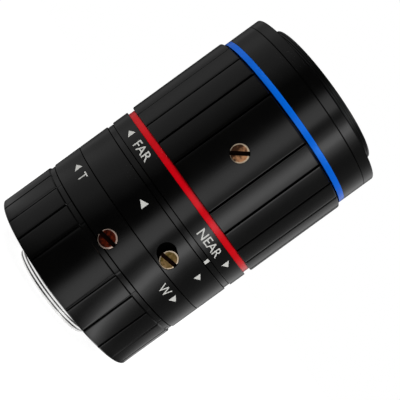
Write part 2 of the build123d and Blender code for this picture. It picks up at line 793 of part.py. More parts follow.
nodes = {
    "c_mount_barrel": c_mount_barrel,
    "rear_plate": rear_plate,
    "rear_plate_screws": rear_plate_screws,
    "main_barrel": main_barrel,
    "iris_ring_retainer": iris_ring_retainer,
    "focus_ring_retainer": focus_ring_retainer,
    "iris_base_plate": iris_base_plate,
    "iris_retaining_ring": iris_retaining_ring,
    "zoom_ring": zoom_ring,
    "rear_cell": rear_cell,
    "rear_cam_pins": rear_cam_pins,
    "lens_4_biconvex": lens_4_biconvex,
    "lens_5_biconvex": lens_5_biconvex,
    "lens_6_biconcave": lens_6_biconcave,
    "rear_spacer": rear_spacer,
    "rear_cell_ring": rear_cell_ring,
    "iris_ring": iris_ring,
    "iris_drive_pin": iris_drive_pin,
    "iris_drive_ring": iris_drive_ring,
    **iris_blades,
    "focus_sleeve": focus_sleeve,
    "red_ring": red_ring,
    "focus_grip": focus_grip,
    "front_barrel": front_barrel,
    "blue_ring": blue_ring,
    "front_bezel": front_bezel,
    "front_guide_pins": front_guide_pins,
    "lens_1_meniscus": lens_1_meniscus,
    "lens_2_biconcave": lens_2_biconcave,
    "lens_3_meniscus": lens_3_meniscus,
    "front_spacer": front_spacer,
    "zoom_lock_screw": zoom_lock_screw,
    "iris_lock_screw": iris_lock_screw,
    "focus_lock_screw": focus_lock_screw,
}

os.makedirs("parts", exist_ok=True)
for name, shape in nodes.items():
    export_step(shape, f"parts/{name}.step")
    print(name, round(shape.volume, 1))
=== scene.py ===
# %% [markdown]
# # A C-mount machine vision lens, dressed for the camera
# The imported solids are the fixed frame: they give every size and place. Each visible piece is made
# again here as a fine surface, so that its outline is round and its edges catch the light.

# %% Load the frame and keep its box
import json
from math import cos, pi, radians, sin

import bmesh
import bpy
import numpy as np
from mathutils import Matrix, Vector


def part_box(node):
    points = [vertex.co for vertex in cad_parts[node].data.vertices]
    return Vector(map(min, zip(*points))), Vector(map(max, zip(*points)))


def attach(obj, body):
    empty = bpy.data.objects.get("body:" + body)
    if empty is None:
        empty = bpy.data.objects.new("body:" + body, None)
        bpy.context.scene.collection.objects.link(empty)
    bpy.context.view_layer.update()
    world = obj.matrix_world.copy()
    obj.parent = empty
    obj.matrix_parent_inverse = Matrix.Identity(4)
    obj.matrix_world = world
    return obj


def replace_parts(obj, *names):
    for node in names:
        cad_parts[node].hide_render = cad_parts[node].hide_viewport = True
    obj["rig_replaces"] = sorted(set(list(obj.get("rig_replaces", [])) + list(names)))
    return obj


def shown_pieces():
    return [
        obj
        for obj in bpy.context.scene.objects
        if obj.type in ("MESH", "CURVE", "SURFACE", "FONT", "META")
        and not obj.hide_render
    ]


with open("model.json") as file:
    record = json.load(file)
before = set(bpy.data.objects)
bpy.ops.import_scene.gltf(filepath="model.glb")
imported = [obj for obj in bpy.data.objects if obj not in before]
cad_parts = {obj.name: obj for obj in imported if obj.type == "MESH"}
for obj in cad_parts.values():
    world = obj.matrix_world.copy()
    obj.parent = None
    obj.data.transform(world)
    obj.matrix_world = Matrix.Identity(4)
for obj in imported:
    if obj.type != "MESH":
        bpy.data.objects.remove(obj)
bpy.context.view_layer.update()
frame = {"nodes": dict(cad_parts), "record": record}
nodes = frame["nodes"]

# %% [markdown]
# ## The camera
# The photograph looks square at the side of the lens, from about 24 cm, with the lens turned 36 degrees
# in the picture. The lens stands upright here, so the camera is rolled instead. It is level with a point
# just above the lens's middle.

# %% Place the camera
def linked(name, data):
    """A new object at the origin, linked into the scene, for a mesh, a curve, a lamp or a camera."""
    made = bpy.data.objects.new(name, data)
    bpy.context.scene.collection.objects.link(made)
    return made


MM = 0.001
FOCAL_LENGTH = 86.49  # millimetres, on a sensor 36 mm wide
camera_place = np.array([3.41, -243.0, 40.21]) * MM  # from the middle of the flange
tilt = radians(36)
camera_right = Vector((sin(tilt), 0, cos(tilt)))
camera_up = Vector((-cos(tilt), 0, sin(tilt)))
camera_back = camera_right.cross(camera_up)
camera_data = bpy.data.cameras.new("photo_camera")
camera_data.sensor_width = 36
camera_data.lens = FOCAL_LENGTH
camera_data.clip_start = 0.01
camera_data.clip_end = 20
turn = Matrix((camera_right, camera_up, camera_back)).transposed().to_4x4()
camera = linked("photo_camera", camera_data)
camera.matrix_world = Matrix.Translation(camera_place) @ turn
bpy.context.scene.camera = camera
print("camera looks along", tuple(round(v, 3) for v in -camera_back))

# %% [markdown]
# ## Shader maths
# A finish is easiest to read as a formula. One small class wraps a socket and adds a Math node for each
# operator, and one method adds any other node.

# %% Wrap a socket and a node tree
class Value:
    """A number on the surface; every operator on it adds one Math node."""

    def __init__(self, finish, socket):
        self.finish = finish
        self.socket = socket

    def apply(self, operation, *others, clamp=False):
        """One Math node on this number and the others."""
        node = self.finish.add("ShaderNodeMath", {"operation": operation, "use_clamp": clamp},
                               **{f"in{k}": v for k, v in enumerate((self, *others))})
        return Value(self.finish, node.outputs[0])

    def __add__(self, other):
        return self.apply("ADD", other)

    def __sub__(self, other):
        return self.apply("SUBTRACT", other)

    def __rsub__(self, other):
        return (self * -1.0).apply("ADD", other)

    def __mul__(self, other):
        return self.apply("MULTIPLY", other)

    def __pow__(self, other):
        return self.apply("POWER", other)

    __radd__ = __add__
    __rmul__ = __mul__

    def clip(self):
        """Keep the number between 0 and 1."""
        return self.apply("ADD", 0.0, clamp=True)


class Finish:
    """The node tree of a new material, or of the world where one is given."""

    def __init__(self, name, world=None):
        self.material = world or bpy.data.materials.new(name)
        self.material.use_nodes = True
        self.tree = self.material.node_tree
        self.tree.nodes.clear()
        self.output = self.tree.nodes.new("ShaderNodeOutputWorld" if world else "ShaderNodeOutputMaterial")
        self.coordinates = self.add("ShaderNodeTexCoord", {}).outputs["Object"]

    def add(self, kind, settings, **inputs):
        """Any node: its settings first, then the values or links of its sockets."""
        node = self.tree.nodes.new(kind)
        for key, setting in settings.items():
            setattr(node, key, setting)
        for key, value in inputs.items():
            numbered = key.startswith("in") and key[2:].isdigit()
            self.fill(node.inputs[int(key[2:]) if numbered else key], value)
        return node

    def fill(self, socket, value):
        """Link a socket, or set it where the value is a plain number or colour."""
        if isinstance(value, Value):
            value = value.socket
        if isinstance(value, bpy.types.NodeSocket):
            self.tree.links.new(value, socket)
        else:
            socket.default_value = value

    def axes(self):
        """The three Object coordinates, in metres."""
        split = self.add("ShaderNodeSeparateXYZ", {}, Vector=self.coordinates)
        return [Value(self, split.outputs[k]) for k in range(3)]

    def noise(self, scale, detail=3.0, roughness=0.5):
        """Noise from 0 to 1 at a scale in features per metre."""
        node = self.add("ShaderNodeTexNoise", {}, Vector=self.coordinates, Scale=scale, Detail=detail,
                        Roughness=roughness)
        return Value(self, node.outputs["Fac"])

    def rings(self, per_metre):
        """Noise that changes along the lens axis only, as a lathe tool leaves it."""
        node = self.add("ShaderNodeTexNoise", {"noise_dimensions": "1D"}, W=self.axes()[2], Scale=per_metre,
                        Detail=4.0)
        return Value(self, node.outputs["Fac"])

    def mix(self, amount, low, high):
        """A colour between two colours."""
        return self.add("ShaderNodeMix", {"data_type": "RGBA"}, in0=amount, in6=low, in7=high).outputs[2]

    def bump(self, height, depth_mm):
        """A normal that tilts with the height, where a height of 1 stands depth_mm proud."""
        node = self.add("ShaderNodeBump", {}, Strength=1.0, Distance=depth_mm * MM, Height=height)
        return node.outputs["Normal"]

    def along(self, direction, through_mm):
        """Millimetres along a unit direction, counted from a point."""
        node = self.add("ShaderNodeVectorMath", {"operation": "DOT_PRODUCT"}, in0=self.coordinates,
                        in1=tuple(direction))
        return Value(self, node.outputs["Value"]) * (1 / MM) - float(np.dot(direction, through_mm))

    def from_axis(self):
        """Millimetres from the lens axis."""
        x, y, _ = self.axes()
        return (x * x + y * y) ** 0.5 * (1 / MM)

    def attribute(self, name):
        """A number stored on the mesh's points."""
        return Value(self, self.add("ShaderNodeAttribute", {"attribute_name": name}).outputs["Fac"])

    def show(self, shader):
        """Join a shader node to the output."""
        self.tree.links.new(shader.outputs[0], self.output.inputs["Surface"])

    def shade(self, **inputs):
        """Fill the Principled shader in and join it to the output."""
        named = {key.replace("_", " "): value for key, value in inputs.items()}
        self.show(self.add("ShaderNodeBsdfPrincipled", {}, **named))
        return self.material


print("shader helpers ready")

# %% [markdown]
# ## Black anodised aluminium
# The bands are turned on a lathe and dyed black, so they are nearly colourless with a semi-gloss skin.
# Fine lathe lines run round them, and the sealed dye layer varies a little in gloss.

# %% Black finishes
def black_finish(name, roughness, line_depth, grain_depth, skin_r=None):
    """Dyed skin: gloss that wanders, lathe lines round the axis, and a fine grain.

    Nearer the axis than the given radius, in saw cuts and screw recesses, painted shade turns the gloss into
    a dull black within an eighth of a millimetre.
    """
    finish = Finish(name)
    cloud = finish.noise(220, detail=2)
    grain = finish.noise(9000, detail=2)
    lines = finish.rings(9000)
    colour = finish.mix(cloud, (0.0010, 0.0010, 0.0011, 1), (0.0020, 0.0020, 0.0018, 1))
    height = lines * line_depth + grain * grain_depth
    gloss = roughness + (cloud - 0.5) * 0.06
    painted_recess_shade = 0.0
    # painted shade: nearer the axis than the given radius, in slots and recesses, the reflection fades to an
    # unlit dull black
    if skin_r:
        painted_recess_shade = ((skin_r - finish.from_axis()) * 8.0).clip()
        gloss = gloss * (1.0 - painted_recess_shade) + painted_recess_shade * 0.6
    return finish.shade(Base_Color=colour, Roughness=gloss, Metallic=painted_recess_shade,
                        Specular_IOR_Level=0.5, Normal=finish.bump(height, 1.0))


band_black = black_finish("band_black", 0.15, 0.0004, 0.0006, 24.7)
front_black = black_finish("front_black", 0.15, 0.0004, 0.0006)
bezel_black = black_finish("bezel_black", 0.32, 0.0006, 0.0012)
grip_black = black_finish("grip_black", 0.21, 0.0003, 0.0016, 25.1)
zoom_black = black_finish("zoom_black", 0.18, 0.0003, 0.0012, 24.78)
inner_black = black_finish("inner_black", 0.55, 0.0010, 0.0020)
BLACK_SLOT = "black_anodised"  # the slot of every black piece
outer_blacks = (band_black, front_black, bezel_black, grip_black, zoom_black)
print("black finishes:", [black.name for black in outer_blacks], "and", inner_black.name)

# %% [markdown]
# ## Coloured rings, bright thread, brass and paint
# The two stripes are dyed aluminium as well: colour under a clear, semi-gloss skin. The camera thread
# is bare bright metal. The lock screws are brass; painted shade darkens the slot and one side of the face,
# and the turned rim is bright from wear and a painted highlight.

# %% Finishes of the coloured and bright pieces
def dyed_finish(name, dark, light, sheen):
    """Coloured dye under a clear skin that tints what it reflects, with faint lathe lines."""
    finish = Finish(name)
    cloud = finish.noise(400, detail=2)
    lines = finish.rings(7000)
    return finish.shade(Base_Color=finish.mix(cloud, dark, light), Roughness=0.13 + cloud * 0.04,
                        Metallic=0.0, Specular_IOR_Level=0.45, Specular_Tint=sheen,
                        Normal=finish.bump(lines, 0.0005))


def bright_finish(name, colour, roughness, line_depth):
    """Bare turned metal: tool lines round the axis and slightly uneven gloss."""
    finish = Finish(name)
    cloud = finish.noise(600, detail=3)
    lines = finish.rings(8000)
    dark = tuple(0.86 * part for part in colour[:3]) + (1,)
    return finish.shade(Base_Color=finish.mix(cloud, dark, colour), Metallic=1.0,
                        Roughness=roughness + (cloud - 0.5) * 0.08, Normal=finish.bump(lines, line_depth))


red_finish = dyed_finish("red_dye", (0.50, 0.0005, 0.0040, 1), (0.60, 0.0010, 0.0070, 1),
                         sheen=(1.0, 0.48, 0.55, 1))
blue_finish = dyed_finish("blue_dye", (0.0008, 0.090, 0.50, 1), (0.0012, 0.115, 0.62, 1),
                          sheen=(0.28, 0.66, 1.0, 1))
thread_bright = bright_finish("thread_bright", (0.92, 0.92, 0.91, 1), 0.27, 0.0010)
steel_finish = bright_finish("pin_steel", (0.52, 0.52, 0.54, 1), 0.3, 0.0006)
blade_finish = bright_finish("blade_steel", (0.045, 0.045, 0.05, 1), 0.42, 0.0002)
brass_plain = bright_finish("ring_brass", (0.62, 0.42, 0.18, 1), 0.35, 0.0010)
black_steel = bright_finish("screw_black", (0.03, 0.03, 0.032, 1), 0.38, 0.0004)
print("metal finishes ready")

# %% White paint
def paint_finish():
    """Screen-printed white, slightly uneven and dull."""
    finish = Finish("mark_white")
    cloud = finish.noise(1500, detail=3)
    return finish.shade(Base_Color=finish.mix(cloud, (0.46, 0.46, 0.44, 1), (0.56, 0.56, 0.53, 1)),
                        Roughness=0.55 + cloud * 0.1, Normal=finish.bump(cloud, 0.004))


mark_white = paint_finish()
print("paint ready")

# %% [markdown]
# ## Coated glass
# A lens element is clear glass with a thin coating that tints its reflection. A glass shader with a
# tinted reflection shows that from any side, and the black bores behind it keep it dark.

# %% Glass finishes
def glass_finish(name, tint, reflection):
    """Clear glass; the coating colours what it reflects."""
    finish = Finish(name)
    cloud = finish.noise(90, detail=1)
    return finish.shade(Base_Color=tint, Roughness=0.012 + cloud * 0.01, IOR=1.6, Transmission_Weight=1.0,
                        Specular_Tint=reflection, Specular_IOR_Level=0.35)


glass_green = glass_finish("glass_green", (0.90, 0.95, 0.93, 1), (0.35, 0.85, 0.60, 1))
glass_violet = glass_finish("glass_violet", (0.93, 0.91, 0.96, 1), (0.62, 0.40, 0.95, 1))
print("glass finishes ready")

# %% [markdown]
# ## Turned surfaces
# Nearly every piece comes off a lathe: a closed outline of radius and height, carried once round the
# axis. Corners get a small round first, because a real edge is never perfectly sharp and its round is
# what shows as a fine bright line.

# %% Outline and revolve helpers
def eased(outline, steps=3):
    """Outline points (radius, height[, round]); each round corner becomes a short arc.

    The arc is a quadratic curve from one tangent point to the other with the corner as its control
    point: (1-t)^2 A + 2 t (1-t) C + t^2 B.
    """
    points = [np.array(point[:2], float) for point in outline]
    rounds = [point[2] if len(point) > 2 else 0.0 for point in outline]
    result = []
    for k, corner in enumerate(points):
        if rounds[k] == 0:
            result.append(corner[None])
            continue
        before = points[k - 1] - corner
        after = points[(k + 1) % len(points)] - corner
        start = corner + before / np.linalg.norm(before) * rounds[k]
        end = corner + after / np.linalg.norm(after) * rounds[k]
        t = np.linspace(0, 1, steps + 1)[:, None]
        result.append((1 - t) ** 2 * start + 2 * t * (1 - t) * corner + t**2 * end)
    return np.vstack(result)


def facing(angle):
    """The mathematical angle, in radians, of a mark this many degrees right of the face at -Y."""
    return np.radians(np.asarray(angle, float) - 90)


def grid_faces(rows, columns, wrap_rows, wrap_columns):
    """Quads of a grid of points stored row by row."""
    down = np.arange(rows if wrap_rows else rows - 1)
    right = np.arange(columns if wrap_columns else columns - 1)
    row, column = np.meshgrid(down, right, indexing="ij")
    below = (row + 1) % rows
    beside = (column + 1) % columns
    here, under = row * columns, below * columns
    return np.stack((here + column, here + beside, under + beside, under + column), -1).reshape(-1, 4)


def piece(name, points_mm, faces, body, material, stands_for=(), sharp=32):
    """Put points and faces into a mesh that is smooth but for its sharp edges, and ride it on its body."""
    mesh = bpy.data.meshes.new(name)
    mesh.from_pydata(np.asarray(points_mm, float) * MM, [], [list(face) for face in faces])
    mesh.validate()
    mesh.shade_smooth()
    mesh.set_sharp_from_angle(angle=radians(sharp))
    mesh.materials.append(material)
    made = linked(name, mesh)
    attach(made, body)
    if stands_for:
        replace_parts(made, *stands_for)
    print(name, len(mesh.vertices), "points")
    return made


def revolved(outline, angles):
    """Points of an outline carried round the axis: x = r cos a, y = r sin a, z = height."""
    radius, height = outline[..., 0], outline[..., 1]
    if radius.ndim == 1:
        radius = np.repeat(radius[:, None], len(angles), 1)
        height = np.repeat(height[:, None], len(angles), 1)
    return np.stack([radius * np.cos(angles), radius * np.sin(angles), height], -1)


def turned_piece(name, outline, body, material, stands_for=()):
    """A lathe-turned piece from its closed outline, with a column of points at each degree."""
    angles = np.linspace(0, 2 * pi, 360, endpoint=False)
    faces = grid_faces(len(outline), len(angles), True, True)
    return piece(name, revolved(outline, angles).reshape(-1, 3), faces, body, material, stands_for)


print("revolve helpers ready")

# %% [markdown]
# ## Sizes from the frame
# The stations along the axis are read from the solids, so that a change there moves the surfaces too.

# %% Read the stations in millimetres
def span(node):
    """Radius, lowest and highest point of a round node, in millimetres."""
    low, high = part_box(node)
    return max(high.x, high.y) / MM, low.z / MM, high.z / MM


grip_r, ring_start, zoom_end = span("zoom_ring")
band_r, iris_start, iris_end = span("iris_ring")
sleeve_start = span("focus_sleeve")[1]
stripe_r, red_start, red_end = span("red_ring")
grip_start, grip_end = span("focus_grip")[1:]
front_r, blue_start, blue_end = span("blue_ring")
front_face = span("front_barrel")[2]
bezel_r, bezel_back, bezel_face = span("front_bezel")
rear_stations = (ring_start, zoom_end, iris_start, iris_end, sleeve_start, red_start, red_end)
front_stations = (grip_start, grip_end, blue_start, blue_end, front_face, bezel_face)
print("stations:", [round(v, 2) for v in rear_stations + front_stations])

# %% [markdown]
# ## Grip panels
# A slitting saw parts each grip into long flat-edged panels. On the grid of the revolved surface a slot
# is a dip in the radius over a few columns, so the columns stand exactly at the slot's edges.

# %% Slots along the axis
SLOT_WIDTH = 0.66  # at the grip's surface
SLOT_FLOOR = 0.24  # at the bottom of the slot
SLOT_DEPTH = 0.5
LIP_WIDTH = 0.07  # broken edge on each side of the slot
LIP_DEPTH = 0.02
WIDE_PANEL = 32.0  # degrees
NARROW_PANELS = 22
ZOOM_PANEL_AT = -2.5  # the middle of the wide panel, in degrees right of the face at -Y
FOCUS_PANEL_AT = 0.4


def slot_angles(centre):
    """Angles of the slots: one on each side of the wide panel, the rest at equal steps."""
    step = (360 - WIDE_PANEL) / NARROW_PANELS
    return (centre + WIDE_PANEL / 2 + step * np.arange(NARROW_PANELS + 1)) % 360


def slotted_columns(centres, radius, step=1.5):
    """Angles in degrees for the grid, with six extra columns at each slot."""
    one_side = np.array([SLOT_FLOOR / 2, SLOT_WIDTH / 2, SLOT_WIDTH / 2 + LIP_WIDTH])
    offsets = np.degrees(np.concatenate([-one_side[::-1], one_side]) / radius)
    extra = (centres[:, None] + offsets).ravel() % 360
    plain = np.arange(0, 360, step)
    near = np.abs((plain[:, None] - centres + 180) % 360 - 180).min(1) < offsets[-1] + 0.3
    return np.sort(np.concatenate([plain[~near], extra]))


def slot_dip(columns, centres, radius):
    """Depth at each column: full inside the slot, a small lip beside it, none elsewhere."""
    away = np.radians(np.abs((columns[:, None] - centres + 180) % 360 - 180).min(1)) * radius
    half = SLOT_WIDTH / 2
    return np.interp(away, [SLOT_FLOOR / 2, half, half + LIP_WIDTH], [SLOT_DEPTH, LIP_DEPTH, 0.0])


def gripped_piece(name, outline, centre, limits, body, material, stands_for):
    """A turned piece with slots: radius = min(outline radius, grip radius - dip) between two heights."""
    centres = slot_angles(centre)
    columns = slotted_columns(centres, grip_r)
    floor = grip_r - slot_dip(columns, centres, grip_r)
    outline = np.asarray(outline)
    within = (outline[:, 1] >= limits[0]) & (outline[:, 1] <= limits[1])
    radius = np.repeat(outline[:, :1], len(columns), 1)
    radius = np.where(within[:, None], np.minimum(radius, floor), radius)
    height = np.repeat(outline[:, 1:], len(columns), 1)
    points = revolved(np.stack([radius, height], -1), facing(columns))
    faces = grid_faces(len(outline), len(columns), True, True)
    return piece(name, points.reshape(-1, 3), faces, body, material, stands_for)


print("slots at", np.round(slot_angles(FOCUS_PANEL_AT)[:4], 1))

# %% [markdown]
# ## Cutting holes
# The lock screws sit in counterbored holes. Cutting the finished ring with a round or oblong plug gives
# the hole a real wall and a real floor.

# %% Cutters and the cut
HEAD_HOLE = 2.4  # radii
SHANK_HOLE = 1.52
HEAD_HEIGHT = 1.95
PROUD = 0.1  # the head stands this far out of its ring
BORE_START = 19.0  # radius inside every ring, where the cutters of the bores begin
PLUG_SIDES = 96


def outward(angle):
    """Unit vectors out of the ring and along it, at an angle from the face at -Y."""
    a = radians(angle)
    return np.array([sin(a), -cos(a), 0.0]), np.array([cos(a), sin(a), 0.0])


def recalculated(mesh):
    """Merge doubled points and turn every face outwards."""
    soft = bmesh.new()
    soft.from_mesh(mesh)
    bmesh.ops.remove_doubles(soft, verts=soft.verts, dist=1e-7)
    bmesh.ops.dissolve_degenerate(soft, dist=1e-8, edges=soft.edges)
    bmesh.ops.recalc_face_normals(soft, faces=soft.faces)
    soft.to_mesh(mesh)
    soft.free()


def plug(name, outline, angle, station, run=0.0, slant=0.0):
    """A closed plug along the outward line: rings of (radius, distance), stretched by run along a slant.

    Each ring is a circle cut in two halves that stand run apart, which makes a stadium.
    """
    out, along = outward(angle)
    t = np.linspace(0, 2 * pi, PLUG_SIDES, endpoint=False) + pi / PLUG_SIDES
    direction = np.array([cos(radians(slant)), sin(radians(slant))])
    circle = np.stack([np.cos(t), np.sin(t)], -1)
    shift = np.where(circle @ direction < 0, run, 0.0)[:, None] * -direction
    rings = np.array(outline, float)
    flat = rings[:, None, :1] * circle + shift
    spread = flat[..., :1] * along + flat[..., 1:] * np.array([0, 0, 1.0])
    points = spread + rings[:, None, 1:] * out + np.array([0, 0, station])
    faces = grid_faces(len(rings), len(t), False, True).tolist()
    faces.append(list(range(len(t)))[::-1])
    faces.append([(len(rings) - 1) * len(t) + k for k in range(len(t))])
    mesh = bpy.data.meshes.new(name)
    mesh.from_pydata(points.reshape(-1, 3) * MM, [], faces)
    recalculated(mesh)
    return linked(name, mesh)


def cut(target, *cutters, sharp=32):
    """Subtract the cutters and keep the result as the piece's own mesh."""
    recalculated(target.data)
    for cutter in cutters:
        modifier = target.modifiers.new("cut", "BOOLEAN")
        modifier.operation = "DIFFERENCE"
        modifier.solver = "EXACT"
        modifier.object = cutter
    depsgraph = bpy.context.evaluated_depsgraph_get()
    result = bpy.data.meshes.new_from_object(target.evaluated_get(depsgraph))
    target.modifiers.clear()
    old = target.data
    target.data = result
    result.name = target.name
    bpy.data.meshes.remove(old)
    for cutter in cutters:
        bpy.data.objects.remove(cutter)
    result.shade_smooth()
    result.set_sharp_from_angle(angle=radians(sharp))
    print(target.name, "cut, now", len(result.vertices), "points")


def screw_hole(name, surface, angle, station, run=0.0, slant=0.0):
    """Cutters of one lock screw hole: the recess of its head and the bore of its shank."""
    floor = surface + PROUD - HEAD_HEIGHT
    recess = [(HEAD_HOLE, floor), (HEAD_HOLE, surface + 1)]
    bore = [(SHANK_HOLE, BORE_START), (SHANK_HOLE, floor + 0.5)]
    return (plug(name + "_recess", recess, angle, station, run, slant),
            plug(name + "_bore", bore, angle, station))


print("cutters ready")

# %% [markdown]
# ## The zoom ring
# One turned piece: the slotted grip at the back, a narrow groove, and the smooth band with its marks.

# %% Zoom ring
ZOOM_SCREW = (-4.0, 18.05)  # angle and station
REAR_CHAMFER = 0.3
RING_EDGE = 0.15  # round of a ring's edge
RING_BORE = 20.45  # of the zoom ring and the iris ring
ZOOM_GRIP_LENGTH = 14.2
SEAM_WIDTH = 1.45
SEAM_R = 24.85  # the low step between the grip and the band
SEAM_FLOOR = 24.5  # the fine groove along its front
grip_seam = ring_start + ZOOM_GRIP_LENGTH
band_seam = grip_seam + SEAM_WIDTH
rear_recess = ring_start + 1.75
front_recess = zoom_end - 2.1
zoom_outline = eased([
    (22.55, ring_start), (grip_r - REAR_CHAMFER, ring_start, 0.12), (grip_r, ring_start + REAR_CHAMFER, 0.12),
    (grip_r, grip_seam - 0.3, 0.1), (SEAM_R, grip_seam), (SEAM_R, band_seam - 0.3),
    (SEAM_FLOOR, band_seam - 0.3), (SEAM_FLOOR, band_seam), (band_r, band_seam, RING_EDGE),
    (band_r, zoom_end, RING_EDGE), (22.45, zoom_end), (22.45, front_recess), (RING_BORE, front_recess),
    (RING_BORE, rear_recess), (22.55, rear_recess),
], steps=5)
zoom_ring = gripped_piece("zoom_ring_turned", zoom_outline, ZOOM_PANEL_AT, (ring_start - 1, grip_seam + 0.2),
                          "zoom_ring_body", zoom_black, ["zoom_ring"])
cut(zoom_ring, *screw_hole("zoom", band_r, *ZOOM_SCREW))

# %% [markdown]
# ## The iris ring
# A plain band. Its lock screw stands at one end of an oblong recess.

# %% Iris ring
IRIS_SCREW = (24.6, 26.35)
RECESS_RUN = 2.1
RECESS_SLANT = -20.0  # degrees
iris_outline = eased([
    (RING_BORE, iris_start), (band_r, iris_start, RING_EDGE), (band_r, iris_end, RING_EDGE),
    (RING_BORE, iris_end),
])
iris_ring = turned_piece("iris_ring_turned", iris_outline, "iris_ring_body", band_black,
                         ["iris_ring"])
cut(iris_ring, *screw_hole("iris", band_r, *IRIS_SCREW, RECESS_RUN, RECESS_SLANT))

# %% [markdown]
# ## The index collar
# The fixed barrel shows only as a narrow collar between two rings. It gets a smooth skin on top of the solid.

# %% Collar skin
RING_GAP = 0.15  # gap between two rings
collar_r = span("main_barrel")[0] + 0.004  # a skin too thin to see
collar_start = iris_end + RING_GAP
collar_end = sleeve_start - RING_GAP
collar_outline = eased([
    (23.6, collar_start), (collar_r, collar_start, 0.12), (collar_r, collar_end, 0.12), (23.6, collar_end),
])
turned_piece("index_collar_skin", collar_outline, "main_body", band_black)

# %% [markdown]
# ## The focus ring
# Three pieces turn together: the sleeve with its marked band, the red ring and the long slotted grip.

# %% Focus sleeve, red ring and grip
FOCUS_SCREW = (FOCUS_PANEL_AT, (grip_start + grip_end) / 2)
SLEEVE_R = 23.2  # under the grip
sleeve_end = span("focus_sleeve")[2]
sleeve_outline = eased([
    (20.05, sleeve_start), (band_r, sleeve_start, RING_EDGE), (band_r, red_start, RING_EDGE),
    (SLEEVE_R, red_start), (SLEEVE_R, sleeve_end), (21.45, sleeve_end), (21.45, red_start),
    (20.05, red_start),
])
focus_sleeve = turned_piece("focus_sleeve_turned", sleeve_outline, "focus_ring_body", band_black,
                            ["focus_sleeve"])
cut(focus_sleeve, plug("sleeve_bore", [(SHANK_HOLE, BORE_START), (SHANK_HOLE, 24.0)], *FOCUS_SCREW))
red_outline = eased([
    (SLEEVE_R + 0.02, red_start), (stripe_r, red_start, 0.06), (stripe_r, red_end, 0.06),
    (SLEEVE_R + 0.02, red_end),
])
turned_piece("red_ring_turned", red_outline, "focus_ring_body", red_finish, ["red_ring"])
grip_outline = eased([
    (SLEEVE_R + 0.02, grip_start), (grip_r, grip_start, 0.45), (grip_r, grip_end, 0.45),
    (SLEEVE_R + 0.02, grip_end),
], steps=5)
focus_grip = gripped_piece("focus_grip_turned", grip_outline, FOCUS_PANEL_AT, (grip_start - 1, grip_end + 1),
                           "focus_ring_body", grip_black, ["focus_grip"])
cut(focus_grip, *screw_hole("focus", grip_r, *FOCUS_SCREW))

# %% [markdown]
# ## The front barrel
# Skirt, cell and front ring are one piece. Its blue ring and the bezel are pieces of their own.

# %% Front barrel and blue ring
skirt_start = span("front_barrel")[1]
line_at = front_face - 2.95
web = front_face - 16.25
pair_seat = front_face - 15.05
front_lens_seat = front_face - 7.85
bezel_shoulder = front_face - 4.25
front_outline = eased([
    (20.05, skirt_start), (21.4, skirt_start), (21.4, blue_start), (22.5, blue_start), (22.5, blue_end),
    (front_r, blue_end, 0.12), (front_r, line_at - 0.14, 0.04), (front_r - 0.22, line_at),
    (front_r, line_at + 0.14, 0.04), (front_r, front_face, 0.3), (bezel_r + 0.02, front_face),
    (bezel_r + 0.02, bezel_shoulder), (17.02, bezel_shoulder), (17.02, front_lens_seat),
    (16.22, front_lens_seat), (16.22, pair_seat), (14.2, pair_seat), (14.2, web), (20.05, web),
], steps=6)
turned_piece("front_barrel_turned", front_outline, "front_group", front_black, ["front_barrel"])
blue_outline = eased([
    (22.52, blue_start), (front_r, blue_start, 0.06), (front_r, blue_end, 0.06), (22.52, blue_end),
])
turned_piece("blue_ring_turned", blue_outline, "front_group", blue_finish, ["blue_ring"])
seats = (web, pair_seat, front_lens_seat, bezel_shoulder)
print("web, pair, front lens, bezel seats:", [round(v, 2) for v in seats])

# %% [markdown]
# ## Threads
# A thread is a ridge that climbs by one pitch a turn. On the grid it is the radius less a triangle wave
# of (height / pitch - angle / full turn), faded out at both ends where the tool runs in and out. The
# camera thread is cut shallower than the real one, whose deep flanks look noisy from this far. Four fine
# lines are turned round the front of the bezel as well.

# %% Threaded pieces
def triangle(phase):
    """0 at a crest, 1 at a root, with a small flat on each."""
    wave = np.abs(phase % 1.0 - 0.5) * 2
    return np.clip((1 - wave) * 1.25 - 0.125, 0, 1)


ROWS_A_TURN = 10


def threaded_piece(name, before, limits, after, pitch, depth, radius, body, material, stands_for):
    """An outline whose stretch between two heights carries a thread: radius less depth times the wave."""
    low, high = limits
    rows = int(abs(high - low) / pitch * ROWS_A_TURN) + 1
    heights = np.linspace(low, high, rows)
    stretch = np.stack([np.full(rows, radius), heights], -1)
    outline = np.vstack([before, stretch, after])
    first = len(before)
    angles = np.linspace(0, 2 * pi, 288, endpoint=False)
    grid = np.repeat(outline[:, None, :], len(angles), 1)
    fade = np.clip(np.minimum(np.abs(heights - low), np.abs(heights - high)) / (0.5 * pitch), 0, 1)
    wave = triangle(heights[:, None] / pitch - angles / (2 * pi))
    grid[first:first + rows, :, 0] -= depth * fade[:, None] * wave
    points = revolved(grid, angles)
    return piece(name, points.reshape(-1, 3), grid_faces(len(outline), len(angles), True, True), body,
                 material, stands_for, sharp=40)


MOUNT_R = 12.7  # 1 inch across, 32 threads to the inch
MOUNT_PITCH = 25.4 / 32
SEAT_R = 15.125  # the flat seat that meets the camera
STEP_AT = 2.25  # from the seat to the barrel's wider part
thread_end, mount_front = span("c_mount_barrel")[1:]
mount_end = [(11.0, thread_end), (12.2, thread_end), (12.28, thread_end + 0.03)]
mount_flange = [
    (12.45, -0.2), (12.45, 0.0), (SEAT_R - 0.15, 0.0), (SEAT_R, 0.12), (SEAT_R, STEP_AT), (17.53, STEP_AT),
    (17.53, mount_front), (15.0, mount_front), (15.0, 2.3), (11.0, 2.3),
]
threaded_piece("c_mount_barrel_threaded", mount_end, (thread_end + 0.45, -0.25), mount_flange, MOUNT_PITCH,
               0.13, MOUNT_R, "main_body", thread_bright, ["c_mount_barrel"])

